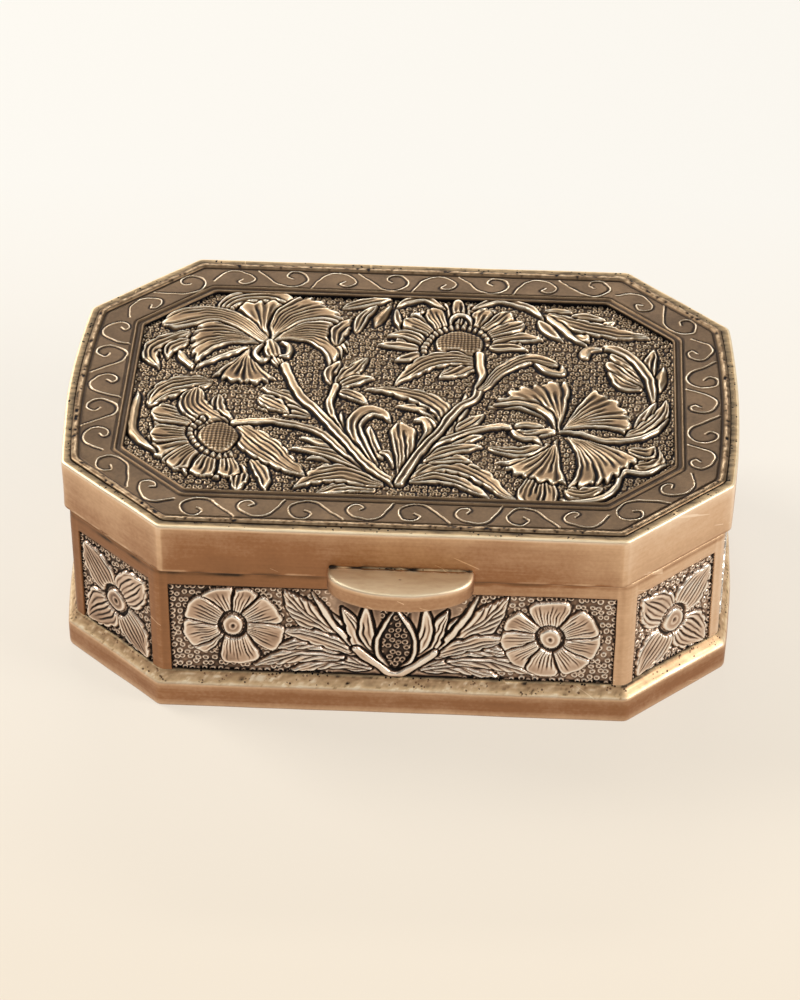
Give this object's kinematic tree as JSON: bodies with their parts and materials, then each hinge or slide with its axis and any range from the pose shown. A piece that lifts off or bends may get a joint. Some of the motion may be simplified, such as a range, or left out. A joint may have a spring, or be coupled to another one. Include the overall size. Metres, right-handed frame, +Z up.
{
  "type": "brass storage box",
  "caption": "Small eight-sided cast brass storage box with a hinged lid, a thumb tab, let-in floral plates and a stepped foot.",
  "frame": {"origin": "middle of the box's underside, on the surface that it stands on", "axes": "+X along the length to the right as seen from the front, -Y out of the front where the thumb tab is, +Z up"},
  "size_m": [0.1176, 0.0838, 0.0404],
  "materials": {
    "satin_brass": "satin, brushed along the box, warm and slightly coppery, with fine scratches",
    "carved_lid_brass": "antiqued, dark in the recesses and bright on the high relief",
    "carved_panel_brass": "antiqued, punched ground with polished petals",
    "plain_brass": "plain as cast and filed, dull",
    "hinge_brass": "filed, dark in the joints"
  },
  "bodies": {
    "box": {"base_plate": "plain_brass", "foot_ring": "satin_brass", "wall_frame": "satin_brass", "lip_ring": "plain_brass", "panel_front": "carved_panel_brass", "panel_front_right": "carved_panel_brass", "panel_right": "carved_panel_brass", "panel_back_right": "carved_panel_brass", "panel_back": "carved_panel_brass", "panel_back_left": "carved_panel_brass", "panel_left": "carved_panel_brass", "panel_front_left": "carved_panel_brass", "hinge_knuckle_1_box": "hinge_brass", "hinge_knuckle_3_box": "hinge_brass", "hinge_knuckle_5_box": "hinge_brass", "hinge_pin": "hinge_brass"},
    "lid": {"lid_skirt": "satin_brass", "lid_top_plate": "carved_lid_brass", "thumb_tab": "satin_brass", "hinge_knuckle_2_lid": "hinge_brass", "hinge_knuckle_4_lid": "hinge_brass"}
  },
  "joints": [
    {"name": "lid_hinge", "type": "hinge", "parent": "box", "child": "lid", "pos_m": [0, 0.03722, 0.03], "axis": [-1, 0, 0], "range_deg": [0, 105]}
  ]
}
